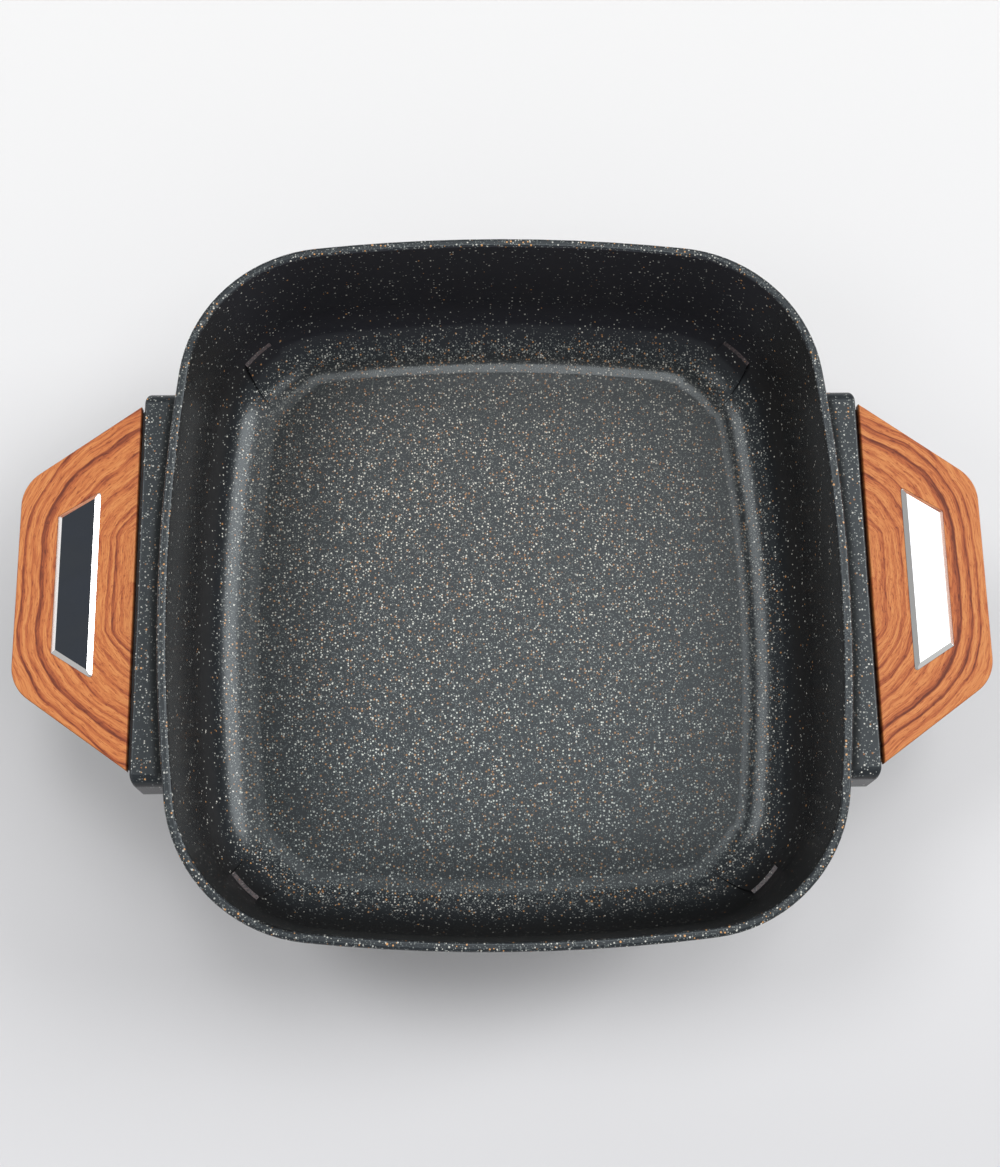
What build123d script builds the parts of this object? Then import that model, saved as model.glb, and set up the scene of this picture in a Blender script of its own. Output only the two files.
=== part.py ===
"""Square electric skillet: die-cast pan, underside heating element, control socket,
wood-grain handles on black cores, legs and rubber feet.

Millimetres. The origin is on the countertop under the middle of the pan, +X points
to the right handle, +Y to the control socket and +Z up. Left-hand pieces are mirror
images of the right-hand ones about the YZ plane.
"""

from build123d import *
import os
from math import atan2, degrees, hypot, radians, sqrt, tan

os.makedirs("parts", exist_ok=True)

# ------------------------------------------------------------------ pan
RIM_WIDTH = 300.0  # across the rim, left to right, at mid-side
RIM_DEPTH = 319.0  # across the rim, front to back, at mid-side
SIDE_BOW_RADIUS = 780.0  # left and right sides bow outward, seen from above
END_BOW_RADIUS = 755.0  # front and back sides bow outward, seen from above
RIM_CORNER_RADIUS = 68.0
RIM_THICKNESS = 4.2
RIM_EDGE_ROUND = 1.3
WALL_DRAFT = 5.0  # degrees from upright
COOKING_DEPTH = 75.0
FLOOR_THICKNESS = 5.0
FLOOR_FILLET = 27.0  # inside, floor to wall
UNDERSIDE_FILLET = 31.0  # outside, underside to wall
UNDERSIDE_HEIGHT = 34.0  # countertop to the underside

# Rack rests: a raised pad in each inside corner, with a narrow level ledge on top
REST_DROP = 58.5  # rim to ledge
REST_WIDTH = 16.0  # along the ledge
REST_LEDGE = 1.8  # how far the pad stands in from the corner wall
REST_SIDE_DRAFT = 12.0  # degrees; the pad is wider at its foot

# ------------------------------------------------------------------ side lugs
LUG_TOP_DROP = 9.0  # rim to lug top
LUG_HEIGHT = 16.0
LUG_REACH = 10.2  # rim's edge to the lug's outer face
LUG_HALF_LENGTH = 88.0  # at the lug's top, before its rounding
LUG_END_FLARE = 2.0  # each end runs out this much further at the bottom
LUG_END_ROUND = 5.0  # from the lug's top down to its ends
LUG_CORNER_ROUND = 9.0  # outer corners, seen from above
LUG_CORNER_EASE = 2.0  # the corner's arc would meet the end this far beyond it
LUG_EDGE_ROUND = 1.2
LUG_SKIN = 3.4  # metal left round the pockets cored from below
LUG_RIB_THICKNESS = 5.0

# Ears: two flat tongues on each lug that carry the handle
EAR_OFFSET = 44.0
EAR_WIDTH = 22.0
EAR_THICKNESS = 6.0
EAR_REACH = 24.0  # beyond the lug's outer face
EAR_CORNER_ROUND = 6.0

# ------------------------------------------------------------------ handles
GRIP_REACH = 51.0  # wood-grain panel, pan side to outer edge
GRIP_INNER_HALF = 82.0
GRIP_OUTER_HALF = 45.3
GRIP_CORNER_ROUND = 18.0
PANEL_GAP = 1.5  # lug face to the panel's inner edge
PANEL_DROP = 10.0  # rim to the panel's top face
PANEL_THICKNESS = 5.0
PANEL_EDGE_ROUND = 0.8
CORE_GAP = 0.4  # lug face to the core
CORE_INSET = 0.9  # how far the core's edge stays behind the panel's
CORE_HEIGHT = 19.0
CORE_WALL = 3.0
CORE_FLOOR = 3.5
CORE_UNDER_ROUND = 5.0
CORE_RIB_THICKNESS = 2.0
CORE_RIB_OFFSET = 15.0

PLATE_START = 16.3  # panel's inner edge to the plate's inner edge
PLATE_REACH = 18.0
PLATE_INNER_HALF = 42.2
PLATE_OUTER_HALF = 30.7
PLATE_RAISE = 1.6
PLATE_SINK = 1.0
PLATE_BEVEL = 2.0  # width, seen from above
PLATE_CORNER_ROUND = 1.0
PLATE_PEG_DIAMETER = 3.0
PLATE_PEG_LENGTH = 3.0
PLATE_PEG_OFFSET = 20.0
SEAT_CLEARANCE = 0.15  # all round a piece that sits in a recess

# ------------------------------------------------------------------ fasteners
HANDLE_SCREW_DIAMETER = 5.0
HANDLE_HEAD_DIAMETER = 9.2
HANDLE_HEAD_HEIGHT = 3.2
HANDLE_SCREW_INSET = 13.5  # lug face to the screw
HANDLE_SCREW_SINK = 5.0  # core underside to the washer's seat
HANDLE_WASHER_DIAMETER = 10.0

PANEL_SCREW_DIAMETER = 2.9
PANEL_HEAD_DIAMETER = 5.6
PANEL_HEAD_HEIGHT = 2.2
PANEL_SCREW_INSET = 31.0  # lug face to the screw
PANEL_SCREW_OFFSET = 30.0
PANEL_SCREW_SINK = 4.0
PANEL_SCREW_GRIP = 5.0  # length of screw in the panel's boss
PANEL_BOSS_LENGTH = 7.0

LEG_SCREW_DIAMETER = 4.0
LEG_HEAD_DIAMETER = 7.6
LEG_HEAD_HEIGHT = 2.8
LEG_SCREW_GRIP = 7.0  # length of screw in the casting
LEG_WASHER_DIAMETER = 8.2

GUARD_SCREW_DIAMETER = 4.0
GUARD_HEAD_DIAMETER = 7.0
GUARD_HEAD_HEIGHT = 2.6
GUARD_SCREW_GRIP = 5.0

WASHER_THICKNESS = 1.0
SHANK_CLEARANCE = 0.2  # round a screw in the piece that it clamps
THREAD_CLEARANCE = 0.05  # round a screw in the piece that it bites
THREAD_RUNOUT = 0.5  # tapped hole beyond the screw's tip
HEAD_CLEARANCE = 0.6  # round a sunk head or washer
BOSS_WALL = 2.5  # plastic round a screw's recess
DRIVE_SLOT_WIDTH = 1.1
DRIVE_SLOT_SHARE = 0.6  # cross slot's length over the head's diameter

# ------------------------------------------------------------------ legs and feet
LEG_SIDE_OFFSET = 18.0  # middle of the element's corner arc to the leg's screw, along X
LEG_END_OFFSET = 22.0  # the same, along Y
LEG_PLATE_LENGTH = 46.0
LEG_PLATE_WIDTH = 27.0
LEG_PLATE_THICKNESS = 6.0
LEG_STEP = 3.0  # the column stands this far behind the plate's edge
LEG_CORNER_ROUND = 9.0
LEG_DRAFT = 4.0
LEG_EDGE_BEVEL = 1.0
LEG_BOSS_DIAMETER = 16.0
LEG_BOSS_HEIGHT = 6.0
LEG_SOCKET_DEPTH = 3.0  # how far the casting's boss nests in the leg
LEG_SEAT_THICKNESS = 7.0  # leg between the casting's boss and the washer
FOOT_SOLE = 3.5
FOOT_WALL = 2.2
FOOT_CUFF = 3.5  # height of the cuff round the column's end
FOOT_STEM_LENGTH = 7.0
FOOT_STEM_CLEARANCE = 0.1
FOOT_EDGE_BEVEL = 1.0

# ------------------------------------------------------------------ heating element
ELEMENT_DIAMETER = 8.0
ELEMENT_HEIGHT = 22.5  # countertop to the tube's centre line
LOOP_SIDE_INSET = 72.0  # rim's side to the tube's centre line
LOOP_END_INSET = 75.5  # rim's front or back to the tube's centre line
LOOP_STRAIGHT = 15.0  # straight tube between a lead's bend and the loop's corner
LEAD_BEND_RADIUS = 14.0
ELEMENT_END_INSET = 29.5  # rim's back to the tube's cut ends
RIDGE_WIDTH = 16.0  # at the ridge's lower face
RIDGE_DRAFT = 6.0
GROOVE_CLEARANCE = 0.12

# ------------------------------------------------------------------ control socket
TERMINAL_SPACING = 30.0
BLOCK_INSET = 41.5  # rim's back to the terminal block's back face
BLOCK_LENGTH = 21.0
BLOCK_HALF_WIDTH = 23.5
BLOCK_DEPTH = 18.5  # underside to the block's lower face
BLOCK_EDGE_ROUND = 2.0
WELL_RADIUS = 3.3  # bore for a controller's heat probe
WELL_LENGTH = 58.0
WELL_WALL = 3.2
WELL_WEB = 6.0

PIN_DIAMETER = 4.8
PIN_LENGTH = 17.0
PIN_TIP_ROUND = 1.6
PIN_STEM_DIAMETER = 3.4
PIN_STEM_BURIED = 6.0  # length of stem inside the tube's end
PIN_STEM_CLEARANCE = 0.06
INSULATOR_LENGTH = 5.0

GUARD_HALF_WIDTH = 37.0
GUARD_TOP_GAP = 0.5  # underside to the guard's roof
GUARD_BLOCK_GAP = 0.4
GUARD_HEIGHT = 23.0
GUARD_MOUTH_INSET = 1.5  # rim's back to the guard's open end
GUARD_WALL = 2.6
GUARD_CORNER_ROUND = 5.0
GUARD_LIP = 1.3
GUARD_LIP_LENGTH = 4.0
GUARD_HOLE_CLEARANCE = 0.5
GUARD_EAR_THICKNESS = 3.0
GUARD_EAR_RADIUS = 6.0
GUARD_POST_OFFSET = 31.0
GUARD_POST_SETBACK = 8.5  # terminal block's back face to the post
GUARD_POST_DIAMETER = 10.0
GUARD_POST_HEIGHT = 6.0

OVERRUN = 1.0  # how far a cut or a fused root runs past its face
DOWN = (0, 0, -1)

# ------------------------------------------------------------------ places worked out from the sizes
FLOOR_Z = UNDERSIDE_HEIGHT + FLOOR_THICKNESS
RIM_Z = FLOOR_Z + COOKING_DEPTH
LUG_TOP_Z = RIM_Z - LUG_TOP_DROP
LUG_BOTTOM_Z = LUG_TOP_Z - LUG_HEIGHT
LUG_FACE_X = RIM_WIDTH / 2 + LUG_REACH
EAR_TOP_Z = LUG_BOTTOM_Z + EAR_THICKNESS

PANEL_TOP_Z = RIM_Z - PANEL_DROP
PANEL_BOTTOM_Z = PANEL_TOP_Z - PANEL_THICKNESS
PANEL_INNER_X = LUG_FACE_X + PANEL_GAP
PANEL_BOSS_Z = PANEL_BOTTOM_Z - PANEL_BOSS_LENGTH
CORE_BOTTOM_Z = PANEL_BOTTOM_Z - CORE_HEIGHT
CORE_FLOOR_Z = CORE_BOTTOM_Z + CORE_FLOOR
CORE_INNER_X = LUG_FACE_X + CORE_GAP
HANDLE_SCREW_X = LUG_FACE_X + HANDLE_SCREW_INSET
HANDLE_WASHER_Z = CORE_BOTTOM_Z + HANDLE_SCREW_SINK - WASHER_THICKNESS
PANEL_SCREW_X = LUG_FACE_X + PANEL_SCREW_INSET
PANEL_SCREW_Z = CORE_BOTTOM_Z + PANEL_SCREW_SINK
PLATE_INNER_X = PANEL_INNER_X + PLATE_START
PLATE_BOTTOM_Z = PANEL_TOP_Z - PLATE_SINK

LOOP_HALF_WIDTH = RIM_WIDTH / 2 - LOOP_SIDE_INSET
LOOP_HALF_LENGTH = RIM_DEPTH / 2 - LOOP_END_INSET
ELEMENT_END = RIM_DEPTH / 2 - ELEMENT_END_INSET
TERMINAL_X = TERMINAL_SPACING / 2
LOOP_CORNER_RADIUS = LOOP_HALF_WIDTH - TERMINAL_X - LEAD_BEND_RADIUS - LOOP_STRAIGHT
LOOP_CORNER_DIP = LOOP_CORNER_RADIUS * (1 - sqrt(0.5))  # arc's middle to the lines of its sides

LEG_SPREAD_X = LOOP_HALF_WIDTH - LOOP_CORNER_DIP + LEG_SIDE_OFFSET
LEG_SPREAD_Y = LOOP_HALF_LENGTH - LOOP_CORNER_DIP + LEG_END_OFFSET
LEG_BOSS_Z = UNDERSIDE_HEIGHT - LEG_BOSS_HEIGHT
LEG_TOP_Z = LEG_BOSS_Z + LEG_SOCKET_DEPTH
LEG_WASHER_Z = LEG_BOSS_Z - LEG_SEAT_THICKNESS - WASHER_THICKNESS
LEG_BORE_DIAMETER = LEG_HEAD_DIAMETER + 2 * HEAD_CLEARANCE
COLUMN_HEIGHT = LEG_TOP_Z - LEG_PLATE_THICKNESS - FOOT_SOLE

BLOCK_BACK = RIM_DEPTH / 2 - BLOCK_INSET
BLOCK_FRONT = BLOCK_BACK - BLOCK_LENGTH
BLOCK_BOTTOM_Z = UNDERSIDE_HEIGHT - BLOCK_DEPTH
GUARD_TOP_Z = UNDERSIDE_HEIGHT - GUARD_TOP_GAP
GUARD_BOTTOM_Z = GUARD_TOP_Z - GUARD_HEIGHT
GUARD_BACK_Y = BLOCK_BACK + GUARD_BLOCK_GAP
GUARD_MOUTH = RIM_DEPTH / 2 - GUARD_MOUTH_INSET
GUARD_POST_Y = BLOCK_BACK - GUARD_POST_SETBACK
GUARD_POST_Z = UNDERSIDE_HEIGHT - GUARD_POST_HEIGHT

LEG_PLACES = {
    "front_left": (-LEG_SPREAD_X, -LEG_SPREAD_Y),
    "front_right": (LEG_SPREAD_X, -LEG_SPREAD_Y),
    "rear_left": (-LEG_SPREAD_X, LEG_SPREAD_Y),
    "rear_right": (LEG_SPREAD_X, LEG_SPREAD_Y),
}


# ------------------------------------------------------------------ shared shapes
def drum(x, y, z_low, z_high, diameter):
    """Upright cylinder between two heights."""
    upright = (Align.CENTER, Align.CENTER, Align.MIN)
    return Pos(x, y, z_low) * Cylinder(diameter / 2, z_high - z_low, align=upright)


def rod_along_y(x, z, y_low, y_high, diameter):
    """Cylinder along Y between two places."""
    middle = (y_low + y_high) / 2
    return Pos(x, middle, z) * Rot(90, 0, 0) * Cylinder(diameter / 2, y_high - y_low)


def block(x_low, x_high, y_low, y_high, z_low, z_high):
    """Box given by its six faces."""
    middle = Pos((x_low + x_high) / 2, (y_low + y_high) / 2, (z_low + z_high) / 2)
    return middle * Box(x_high - x_low, y_high - y_low, z_high - z_low)


def drafted(drop, angle=WALL_DRAFT):
    """How far a drafted wall moves in over a height."""
    return drop * tan(radians(angle))


def upright_edges(solid, faces_x):
    """Edges that rise along Z, or nearly, and lie at the given X."""
    return [
        edge
        for edge in solid.edges()
        if abs(edge.center().X - faces_x) < OVERRUN / 2 and edge.bounding_box().size.Z > OVERRUN
    ]


def screw(x, y, seat_z, shank_length, shank_diameter, head_diameter, head_height):
    """Pan-head screw driven upward: its head hangs below the seat and has a cross slot."""
    head_z = seat_z - head_height
    head = drum(x, y, head_z, seat_z, head_diameter)
    head = chamfer(head.edges().group_by(Axis.Z)[0], head_height / 3)
    slot_length = head_diameter * DRIVE_SLOT_SHARE
    slot = Pos(x, y, head_z) * Box(slot_length, DRIVE_SLOT_WIDTH, head_height)
    crossing = Pos(x, y, head_z) * Box(DRIVE_SLOT_WIDTH, slot_length, head_height)
    shank = drum(x, y, seat_z - head_height / 4, seat_z + shank_length, shank_diameter)
    return head - slot - crossing + shank


def washer(x, y, z_low, outer_diameter, screw_diameter):
    """Flat ring round a screw."""
    z_high = z_low + WASHER_THICKNESS
    hole_diameter = screw_diameter + 2 * SHANK_CLEARANCE
    return drum(x, y, z_low, z_high, outer_diameter) - drum(x, y, z_low, z_high, hole_diameter)


def write(node, *solids):
    """Write one node: one solid, or several that belong together."""
    shape = solids[0] if len(solids) == 1 else Compound(children=list(solids))
    export_step(shape, f"parts/{node}.step")


def write_pair(name, *right_solids):
    """Write a right-hand node and its mirror image on the left."""
    write(f"right_{name}", *right_solids)
    write(f"left_{name}", *[mirror(solid, about=Plane.YZ) for solid in right_solids])


# ------------------------------------------------------------------ pan body
def corner_arc():
    """Centre of the rim's +X +Y corner arc, and the angles where it meets its sides.

    Side, end and corner arcs keep their centres when the outline is inset, so one
    set of centres serves the rim, the walls and the floor.
    """
    side_centre = RIM_WIDTH / 2 - SIDE_BOW_RADIUS
    end_centre = RIM_DEPTH / 2 - END_BOW_RADIUS
    side_reach = SIDE_BOW_RADIUS - RIM_CORNER_RADIUS
    end_reach = END_BOW_RADIUS - RIM_CORNER_RADIUS
    spacing = hypot(side_centre, end_centre)
    along = (side_reach**2 - end_reach**2 + spacing**2) / (2 * spacing)
    across = sqrt(side_reach**2 - along**2)
    x = side_centre - (along * side_centre + across * end_centre) / spacing
    y = (along * end_centre - across * side_centre) / spacing
    side_angle = degrees(atan2(y, x - side_centre))
    end_angle = degrees(atan2(y - end_centre, x))
    return x, y, side_angle, end_angle


def pan_outline(inset):
    """Bowed square with round corners, inset from the rim's outer edge, at rim height."""
    x, y, side_angle, end_angle = corner_arc()
    side_centre = RIM_WIDTH / 2 - SIDE_BOW_RADIUS
    end_centre = RIM_DEPTH / 2 - END_BOW_RADIUS
    radius = RIM_CORNER_RADIUS - inset
    sweep_angle = end_angle - side_angle
    half = [
        CenterArc((side_centre, 0), SIDE_BOW_RADIUS - inset, -side_angle, 2 * side_angle),
        CenterArc((x, y), radius, side_angle, sweep_angle),
        CenterArc((0, end_centre), END_BOW_RADIUS - inset, end_angle, 180 - 2 * end_angle),
        CenterArc((-x, y), radius, 180 - end_angle, sweep_angle),
    ]
    edges = half + [Rot(0, 0, 180) * edge for edge in half]
    return Pos(0, 0, RIM_Z) * make_face(edges)


def drafted_pan(inset, height, lower_fillet):
    """Pan form hanging from the rim plane: drafted walls and a filleted lower edge."""
    form = extrude(pan_outline(inset), height, dir=DOWN, taper=WALL_DRAFT)
    return fillet(form.edges().group_by(Axis.Z)[0], lower_fillet)


def rack_rests():
    """Pads that thicken the cavity's wall and fillet in its four corners, up to the ledge."""
    x, y, _, _ = corner_arc()
    ledge_z = RIM_Z - REST_DROP
    half_top = REST_WIDTH / 2
    half_foot = half_top + drafted(ledge_z - FLOOR_Z, REST_SIDE_DRAFT)
    section = Polygon(
        (-half_foot, FLOOR_Z), (half_foot, FLOOR_Z), (half_top, ledge_z), (-half_top, ledge_z), align=None
    )
    start = RIM_CORNER_RADIUS - RIM_THICKNESS - drafted(COOKING_DEPTH) - FLOOR_FILLET - REST_LEDGE
    start_plane = Plane((start, 0, 0), x_dir=(0, 1, 0), z_dir=(1, 0, 0))
    window = extrude(start_plane * section, RIM_CORNER_RADIUS - start, dir=(1, 0, 0))
    inner_cavity = drafted_pan(RIM_THICKNESS + REST_LEDGE, COOKING_DEPTH, FLOOR_FILLET)
    corners = [(x_sign, y_sign) for x_sign in (1, -1) for y_sign in (1, -1)]
    return [
        Pos(x_sign * x, y_sign * y) * Rot(0, 0, degrees(atan2(y_sign, x_sign))) * window - inner_cavity
        for x_sign, y_sign in corners
    ]


def side_lug():
    """Right-hand cast lug with drafted ends, cored from below, and its two ears."""
    root_x = RIM_WIDTH / 2 - RIM_CORNER_RADIUS / 2
    low_half = LUG_HALF_LENGTH + LUG_END_FLARE
    end_profile = Polygon(
        (-low_half, LUG_BOTTOM_Z),
        (low_half, LUG_BOTTOM_Z),
        (LUG_HALF_LENGTH, LUG_TOP_Z),
        (-LUG_HALF_LENGTH, LUG_TOP_Z),
        align=None,
    )
    end_profile = fillet(end_profile.vertices().group_by(Axis.Y)[-1], LUG_END_ROUND)
    root_plane = Plane((root_x, 0, 0), x_dir=(0, 1, 0), z_dir=(1, 0, 0))
    lug = extrude(root_plane * end_profile, LUG_FACE_X - root_x, dir=(1, 0, 0))
    corner_half = low_half + LUG_CORNER_EASE
    plan = block(root_x, LUG_FACE_X, -corner_half, corner_half, LUG_BOTTOM_Z, LUG_TOP_Z)
    lug &= fillet(upright_edges(plan, LUG_FACE_X), LUG_CORNER_ROUND)
    face_top = lug.faces().sort_by(Axis.X)[-1].edges().sort_by(Axis.Z)[-1]
    lug = fillet(face_top, LUG_EDGE_ROUND)

    pocket_ends = [
        (LUG_RIB_THICKNESS / 2, EAR_OFFSET - EAR_WIDTH / 2),
        (EAR_OFFSET + EAR_WIDTH / 2, LUG_HALF_LENGTH - LUG_SKIN),
    ]
    for near, far in pocket_ends:
        for low, high in ((near, far), (-far, -near)):
            lug -= block(
                RIM_WIDTH / 2,
                LUG_FACE_X - LUG_SKIN,
                low,
                high,
                LUG_BOTTOM_Z - OVERRUN,
                LUG_TOP_Z - LUG_SKIN,
            )

    half_ear = EAR_WIDTH / 2
    ear_end_x = LUG_FACE_X + EAR_REACH
    for y in (EAR_OFFSET, -EAR_OFFSET):
        ear = block(
            LUG_FACE_X - LUG_SKIN, ear_end_x, y - half_ear, y + half_ear, LUG_BOTTOM_Z, EAR_TOP_Z
        )
        ear = fillet(upright_edges(ear, ear_end_x), EAR_CORNER_ROUND)
        lug += ear
        bite_diameter = HANDLE_SCREW_DIAMETER + 2 * THREAD_CLEARANCE
        lug -= drum(HANDLE_SCREW_X, y, LUG_BOTTOM_Z - OVERRUN, EAR_TOP_Z + OVERRUN, bite_diameter)
    return lug


def element_path(end_y):
    """The element's centre line: in at one terminal, round the floor, out at the other."""
    half_path = [
        (TERMINAL_X, end_y),
        (TERMINAL_X, LOOP_HALF_LENGTH),
        (LOOP_HALF_WIDTH, LOOP_HALF_LENGTH),
        (LOOP_HALF_WIDTH, -LOOP_HALF_LENGTH),
    ]
    points = half_path + [(-x, y) for x, y in reversed(half_path)]
    corner_radii = [LOOP_CORNER_RADIUS] * 4
    path = FilletPolyline(*points, radius=[LEAD_BEND_RADIUS, *corner_radii, LEAD_BEND_RADIUS])
    return Pos(0, 0, ELEMENT_HEIGHT) * path


def element_plane(end_y):
    """Plane across the element's start, with its own Y pointing up."""
    return Plane((TERMINAL_X, end_y, ELEMENT_HEIGHT), x_dir=(1, 0, 0), z_dir=(0, -1, 0))


def element_ridge():
    """Cast ridge under the floor that the tube is pressed into."""
    start_y = (BLOCK_FRONT + BLOCK_BACK) / 2
    height = UNDERSIDE_HEIGHT - ELEMENT_HEIGHT + OVERRUN
    low_half = RIDGE_WIDTH / 2
    high_half = low_half + drafted(height, RIDGE_DRAFT)
    section = Polygon(
        (-low_half, 0), (low_half, 0), (high_half, height), (-high_half, height), align=None
    )
    return sweep(element_plane(start_y) * section, path=element_path(start_y))


def element_groove():
    """Round groove for the tube, which runs on as two holes through the terminal block."""
    radius = ELEMENT_DIAMETER / 2 + GROOVE_CLEARANCE
    return sweep(element_plane(ELEMENT_END) * Circle(radius), path=element_path(ELEMENT_END))


def terminal_block():
    """Cast block that the tube's ends come out of, with the heat probe's well behind it."""
    body = block(
        -BLOCK_HALF_WIDTH,
        BLOCK_HALF_WIDTH,
        BLOCK_FRONT,
        BLOCK_BACK,
        BLOCK_BOTTOM_Z,
        UNDERSIDE_HEIGHT + OVERRUN,
    )
    lower_edges = body.edges().group_by(Axis.Z)[0]
    body = fillet(lower_edges.filter_by(Axis.Y), BLOCK_EDGE_ROUND)
    well_end = BLOCK_BACK - WELL_LENGTH - WELL_WALL
    root_y = BLOCK_FRONT + OVERRUN
    well = rod_along_y(0, ELEMENT_HEIGHT, well_end, root_y, 2 * (WELL_RADIUS + WELL_WALL))
    web_top = UNDERSIDE_HEIGHT + OVERRUN
    web = block(-WELL_WEB / 2, WELL_WEB / 2, well_end, root_y, ELEMENT_HEIGHT, web_top)
    return body + well + web


def probe_well():
    """Blind bore for a controller's heat probe."""
    bottom_y = BLOCK_BACK - WELL_LENGTH
    return rod_along_y(0, ELEMENT_HEIGHT, bottom_y, BLOCK_BACK + OVERRUN, 2 * WELL_RADIUS)


def pan_body():
    """The whole casting: pan, side lugs, element ridge, terminal block and bosses."""
    shell = drafted_pan(0, COOKING_DEPTH + FLOOR_THICKNESS, UNDERSIDE_FILLET)
    cavity = drafted_pan(RIM_THICKNESS, COOKING_DEPTH, FLOOR_FILLET)
    for rest in rack_rests():
        cavity -= rest
    lug = side_lug()
    body = shell + lug + mirror(lug, about=Plane.YZ) - cavity
    rim_edges = body.edges().filter_by(lambda edge: edge.bounding_box().min.Z > RIM_Z - OVERRUN)
    body = fillet(rim_edges, RIM_EDGE_ROUND)

    body += element_ridge()
    body += terminal_block()
    root_z = UNDERSIDE_HEIGHT + OVERRUN
    for x, y in LEG_PLACES.values():
        body += drum(x, y, LEG_BOSS_Z, root_z, LEG_BOSS_DIAMETER)
        tapped_top = LEG_BOSS_Z + LEG_SCREW_GRIP + THREAD_RUNOUT
        bite_diameter = LEG_SCREW_DIAMETER + 2 * THREAD_CLEARANCE
        body -= drum(x, y, LEG_BOSS_Z - OVERRUN, tapped_top, bite_diameter)
    for x in (GUARD_POST_OFFSET, -GUARD_POST_OFFSET):
        body += drum(x, GUARD_POST_Y, GUARD_POST_Z, root_z, GUARD_POST_DIAMETER)
        tapped_top = GUARD_POST_Z + GUARD_SCREW_GRIP + THREAD_RUNOUT
        bite_diameter = GUARD_SCREW_DIAMETER + 2 * THREAD_CLEARANCE
        body -= drum(x, GUARD_POST_Y, GUARD_POST_Z - OVERRUN, tapped_top, bite_diameter)
    return body - element_groove() - probe_well()


# ------------------------------------------------------------------ heating element and socket
def heating_element():
    """Sheathed tube with a socket in each cut end for the terminal's stem."""
    tube = sweep(
        element_plane(ELEMENT_END) * Circle(ELEMENT_DIAMETER / 2), path=element_path(ELEMENT_END)
    )
    for x in (TERMINAL_X, -TERMINAL_X):
        bottom_y = ELEMENT_END - PIN_STEM_BURIED
        bore_diameter = PIN_STEM_DIAMETER + 2 * PIN_STEM_CLEARANCE
        tube -= rod_along_y(x, ELEMENT_HEIGHT, bottom_y, ELEMENT_END + OVERRUN, bore_diameter)
    return tube


def terminal_pin():
    """Right-hand contact pin: a stem in the tube's end and a round-nosed pin beyond it."""
    shoulder_y = ELEMENT_END + INSULATOR_LENGTH
    pin = rod_along_y(TERMINAL_X, ELEMENT_HEIGHT, shoulder_y, shoulder_y + PIN_LENGTH, PIN_DIAMETER)
    pin = fillet(pin.edges().group_by(Axis.Y)[-1], PIN_TIP_ROUND)
    stem_start = ELEMENT_END - PIN_STEM_BURIED
    stem_end = shoulder_y + OVERRUN
    return pin + rod_along_y(TERMINAL_X, ELEMENT_HEIGHT, stem_start, stem_end, PIN_STEM_DIAMETER)


def terminal_insulator():
    """Right-hand ceramic ring between the tube's end and the pin's shoulder."""
    end_y = ELEMENT_END + INSULATOR_LENGTH
    ring = rod_along_y(TERMINAL_X, ELEMENT_HEIGHT, ELEMENT_END, end_y, ELEMENT_DIAMETER)
    bore_diameter = PIN_STEM_DIAMETER + 2 * PIN_STEM_CLEARANCE
    return ring - rod_along_y(TERMINAL_X, ELEMENT_HEIGHT, ELEMENT_END, end_y, bore_diameter)


def guard_section(shrink):
    """Round-cornered section of the socket guard, facing along +Y at the guard's back."""
    centre = (0, GUARD_BACK_Y, (GUARD_TOP_Z + GUARD_BOTTOM_Z) / 2)
    plane = Plane(centre, x_dir=(-1, 0, 0), z_dir=(0, 1, 0))
    width = 2 * (GUARD_HALF_WIDTH - shrink)
    height = GUARD_HEIGHT - 2 * shrink
    return plane * RectangleRounded(width, height, GUARD_CORNER_ROUND - shrink)


def socket_guard():
    """Heat-proof moulded box round the pins, open at the back of the skillet."""
    length = GUARD_MOUTH - GUARD_BACK_Y
    guard = extrude(guard_section(0), length, dir=(0, 1, 0))
    lip_start = length - GUARD_LIP_LENGTH
    guard += Pos(0, lip_start, 0) * extrude(guard_section(-GUARD_LIP), GUARD_LIP_LENGTH, dir=(0, 1, 0))
    guard -= Pos(0, GUARD_WALL, 0) * extrude(guard_section(GUARD_WALL), length, dir=(0, 1, 0))

    ear_bottom_z = GUARD_POST_Z - GUARD_EAR_THICKNESS
    wall_y = GUARD_BACK_Y + GUARD_WALL
    for x in (GUARD_POST_OFFSET, -GUARD_POST_OFFSET):
        tongue = drum(x, GUARD_POST_Y, ear_bottom_z, GUARD_POST_Z, 2 * GUARD_EAR_RADIUS)
        tongue += block(
            x - GUARD_EAR_RADIUS, x + GUARD_EAR_RADIUS, GUARD_POST_Y, wall_y, ear_bottom_z, GUARD_POST_Z
        )
        hole_diameter = GUARD_SCREW_DIAMETER + 2 * SHANK_CLEARANCE
        guard += tongue - drum(x, GUARD_POST_Y, ear_bottom_z, GUARD_POST_Z, hole_diameter)

    for x in (TERMINAL_X, -TERMINAL_X):
        hole_diameter = ELEMENT_DIAMETER + 2 * GUARD_HOLE_CLEARANCE
        guard -= rod_along_y(
            x, ELEMENT_HEIGHT, GUARD_BACK_Y - OVERRUN, wall_y + OVERRUN, hole_diameter
        )
    hole_diameter = 2 * (WELL_RADIUS + GUARD_HOLE_CLEARANCE)
    return guard - rod_along_y(
        0, ELEMENT_HEIGHT, GUARD_BACK_Y - OVERRUN, wall_y + OVERRUN, hole_diameter
    )


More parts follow.
